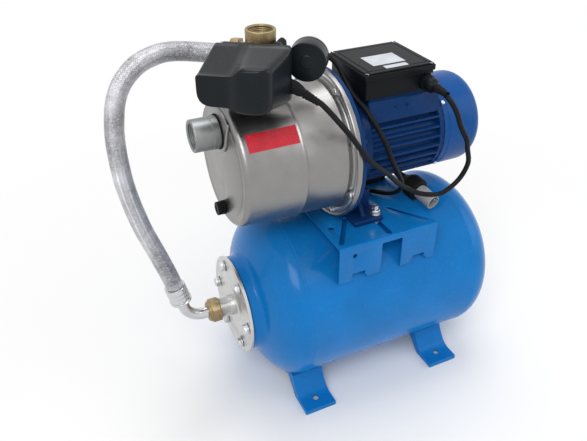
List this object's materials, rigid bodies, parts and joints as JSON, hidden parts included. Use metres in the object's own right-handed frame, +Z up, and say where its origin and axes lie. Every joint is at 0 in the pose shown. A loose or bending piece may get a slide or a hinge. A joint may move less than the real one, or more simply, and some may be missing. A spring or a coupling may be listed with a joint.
{
  "type": "booster pump set",
  "caption": "Self-priming jet pump on a horizontal pressure tank, with a braided hose, pressure switch and gauge on a brass fitting.",
  "frame": {"origin": "on the floor, under the middle of the set without its hose and leads", "axes": "+X along the pump's shaft towards the fan, +Y away from the side with the switch, +Z up"},
  "size_m": [0.5755, 0.262, 0.568],
  "materials": {
    "tank_blue": "gloss enamel",
    "navy_paint": "semi-gloss paint",
    "cowl_blue": "semi-gloss paint",
    "stainless": "polished stainless steel",
    "zinc": "zinc-plated steel",
    "brass": "cast brass",
    "chrome": "bright plating",
    "cast_port": "grey machined casting",
    "black_plastic": "satin moulded plastic",
    "black_rubber": "matt rubber",
    "lead_rubber": "smooth cable sheath",
    "braid": "rubber hose under a fine steel wire braid",
    "steel": "ground steel",
    "core_steel": "laminated core",
    "copper": "varnished winding",
    "noryl": "glass-filled plastic",
    "ceramic": "glazed ceramic",
    "dial_white": "printed white plate",
    "pointer_red": "enamelled pointer",
    "glass": "clear window"
  },
  "bodies": {
    "root": {"tank_shell": "tank_blue", "tank_membrane": "black_rubber", "tank_flange": "zinc", "flange_bolts": "zinc", "tank_foot_left": "tank_blue", "tank_foot_right": "tank_blue", "pump_bracket": "tank_blue", "air_valve_stem": "brass", "pump_casing": "stainless", "casing_screws": "zinc", "suction_port": "cast_port", "suction_seal": "black_rubber", "ejector": "noryl", "diffuser": "noryl", "shaft_seal_seat": "ceramic", "seal_plate": "stainless", "casing_gasket": "black_rubber", "motor_bracket": "navy_paint", "foot_bolt_near": "zinc", "foot_bolt_far": "zinc", "motor_housing": "navy_paint", "stator_core": "core_steel", "stator_winding": "copper", "front_bearing_outer_ring": "steel", "rear_bearing_outer_ring": "steel", "rear_endshield": "navy_paint", "fan_cover": "cowl_blue", "terminal_box": "black_plastic", "terminal_box_lid": "black_plastic", "box_gland": "black_plastic", "capacitor": "zinc", "five_way_fitting": "brass", "gauge_case": "black_plastic", "gauge_dial": "dial_white", "gauge_lens": "glass", "switch_base": "black_plastic", "switch_cover": "black_plastic", "switch_spring": "steel", "hose": "braid", "hose_top_fitting": "chrome", "hose_elbow": "chrome", "hose_nut": "brass", "motor_lead": "lead_rubber", "mains_lead": "lead_rubber", "mains_coil": "lead_rubber", "plug": "black_plastic"},
    "rotor": {"motor_shaft": "steel", "rotor_core": "core_steel", "impeller": "noryl", "shaft_seal_head": "black_rubber", "front_bearing_inner_ring": "steel", "rear_bearing_inner_ring": "steel", "cooling_fan": "noryl"},
    "front_cage": {"front_bearing_cage": "brass"},
    "rear_cage": {"rear_bearing_cage": "brass"},
    "needle": {"gauge_pointer": "pointer_red"},
    "lever": {"switch_lever": "zinc"},
    "drain": {"drain_plug": "black_plastic"},
    "valve_cap": {"air_valve_cap": "black_plastic"},
    "valve_core": {"air_valve_core": "steel"}
  },
  "joints": [
    {"name": "rotor_spin", "type": "hinge", "parent": "root", "child": "rotor", "pos_m": [0.00417, 0, 0.3965], "axis": [1, 0, 0], "continuous": true},
    {"name": "front_cage_spin", "type": "hinge", "parent": "root", "child": "front_cage", "pos_m": [0.00417, 0, 0.3965], "axis": [1, 0, 0], "continuous": true},
    {"name": "rear_cage_spin", "type": "hinge", "parent": "root", "child": "rear_cage", "pos_m": [0.00417, 0, 0.3965], "axis": [1, 0, 0], "continuous": true},
    {"name": "needle_turn", "type": "hinge", "parent": "root", "child": "needle", "pos_m": [-0.0916, -0.03438, 0.5335], "axis": [0.5878, 0.809, 0], "range_deg": [-270, 0]},
    {"name": "lever_turn", "type": "hinge", "parent": "root", "child": "lever", "pos_m": [-0.14857, -0.06431, 0.5295], "axis": [0, 0, 1], "range_deg": [-4, 0]},
    {"name": "drain_plug_slide", "type": "slide", "parent": "root", "child": "drain", "axis": [-1, 0, 0], "range_m": [0, 0.02]},
    {"name": "valve_cap_slide", "type": "slide", "parent": "root", "child": "valve_cap", "axis": [1, 0, 0], "range_m": [0, 0.015]},
    {"name": "valve_core_slide", "type": "slide", "parent": "root", "child": "valve_core", "axis": [-1, 0, 0], "range_m": [0, 0.0015], "stiffness_N_per_m": 200}
  ],
  "couplings": [
    {"joint": "front_cage_spin", "follows": "rotor_spin", "ratio": 0.4236},
    {"joint": "rear_cage_spin", "follows": "rotor_spin", "ratio": 0.4236}
  ]
}
